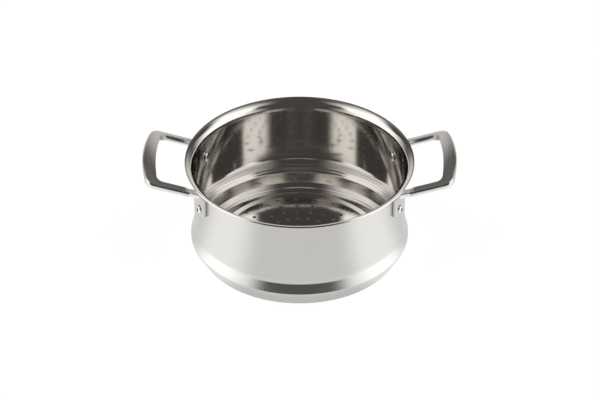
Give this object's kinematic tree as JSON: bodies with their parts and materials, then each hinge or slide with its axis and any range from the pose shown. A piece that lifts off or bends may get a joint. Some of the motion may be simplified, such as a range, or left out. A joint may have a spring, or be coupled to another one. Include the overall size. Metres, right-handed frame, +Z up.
{
  "type": "steamer insert",
  "caption": "Round stainless steel steamer insert: flared rim, perforated floor, stepped base that seats in pans of several sizes, and two riveted loop handles.",
  "frame": {"origin": "centre of the underside of the floor, where the insert stands on a table", "axes": "+Z up the vessel's axis, +X from the pot's centre to one handle, the other handle lies along -X"},
  "size_m": [0.2932, 0.2154, 0.1067],
  "materials": {
    "vessel_steel": "mirror polished inside, satin outside",
    "handle_steel": "fine satin with polished edges",
    "foot_steel": "polished",
    "rivet_steel": "polished"
  },
  "bodies": {
    "root": {"vessel": "vessel_steel", "handle_left": "handle_steel", "handle_right": "handle_steel", "foot_left_back": "foot_steel", "foot_left_front": "foot_steel", "foot_right_back": "foot_steel", "foot_right_front": "foot_steel", "rivet_left_back": "rivet_steel", "rivet_left_front": "rivet_steel", "rivet_right_back": "rivet_steel", "rivet_right_front": "rivet_steel"}
  },
  "joints": []
}
